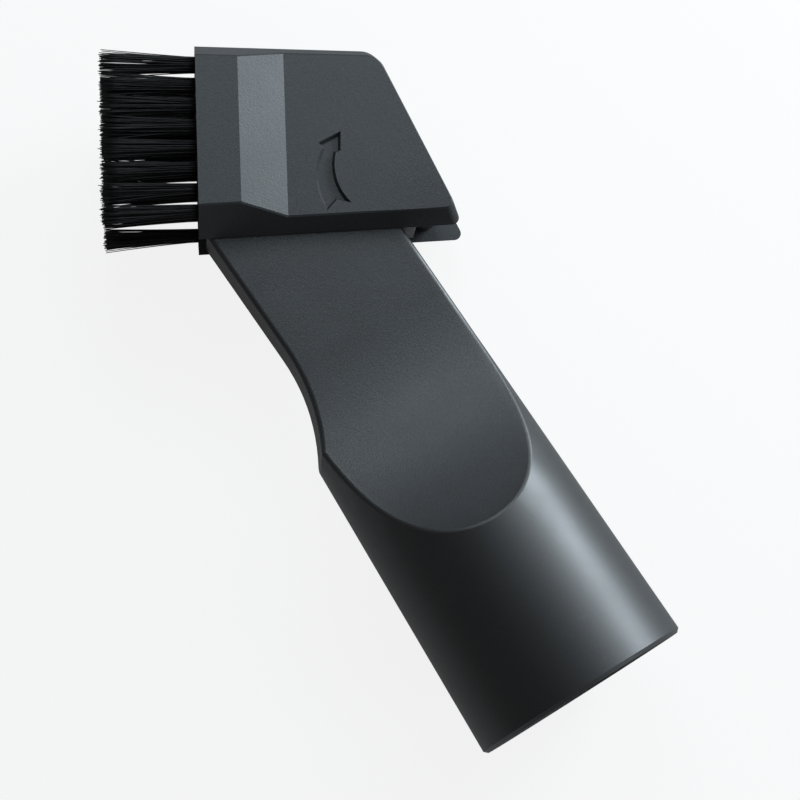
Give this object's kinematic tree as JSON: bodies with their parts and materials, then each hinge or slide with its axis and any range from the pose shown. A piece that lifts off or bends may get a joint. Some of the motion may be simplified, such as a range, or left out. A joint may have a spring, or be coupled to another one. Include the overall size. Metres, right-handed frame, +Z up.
{
  "type": "vacuum brush head",
  "caption": "Flat crevice nozzle with a round pipe socket and a hinged brush hood that folds over the slanted tip and swings aside.",
  "frame": {"origin": "Floor point under the middle of the part's box, as it lies at rest with the hood folded over the tip.", "axes": "+Z up from the floor, +Y along the nozzle from socket to tip, +X to the right seen from the front."},
  "size_m": [0.0552, 0.1306, 0.0375],
  "materials": {
    "nozzle": "satin moulded",
    "hood": "fine matte grain",
    "bristles": "satin filament",
    "pin": "drawn",
    "anchors": "drawn"
  },
  "bodies": {
    "nozzle_body": {"nozzle": "nozzle"},
    "brush_head": {"front_cover": "hood", "back_cover": "hood", "hinge_pin": "pin", "anchors_front": "anchors", "anchors_back": "anchors", "tuft_front_1": "bristles", "tuft_front_2": "bristles", "tuft_front_3": "bristles", "tuft_front_4": "bristles", "tuft_front_5": "bristles", "tuft_front_6": "bristles", "tuft_front_7": "bristles", "tuft_front_8": "bristles", "tuft_back_1": "bristles", "tuft_back_2": "bristles", "tuft_back_3": "bristles", "tuft_back_4": "bristles", "tuft_back_5": "bristles", "tuft_back_6": "bristles", "tuft_back_7": "bristles", "tuft_back_8": "bristles"}
  },
  "joints": [
    {"name": "brush_swing", "type": "hinge", "parent": "nozzle_body", "child": "brush_head", "pos_m": [0.02083, 0.01627, 0.01114], "axis": [-0.1773, -0.0503, -0.9829], "range_deg": [0, 170]}
  ]
}
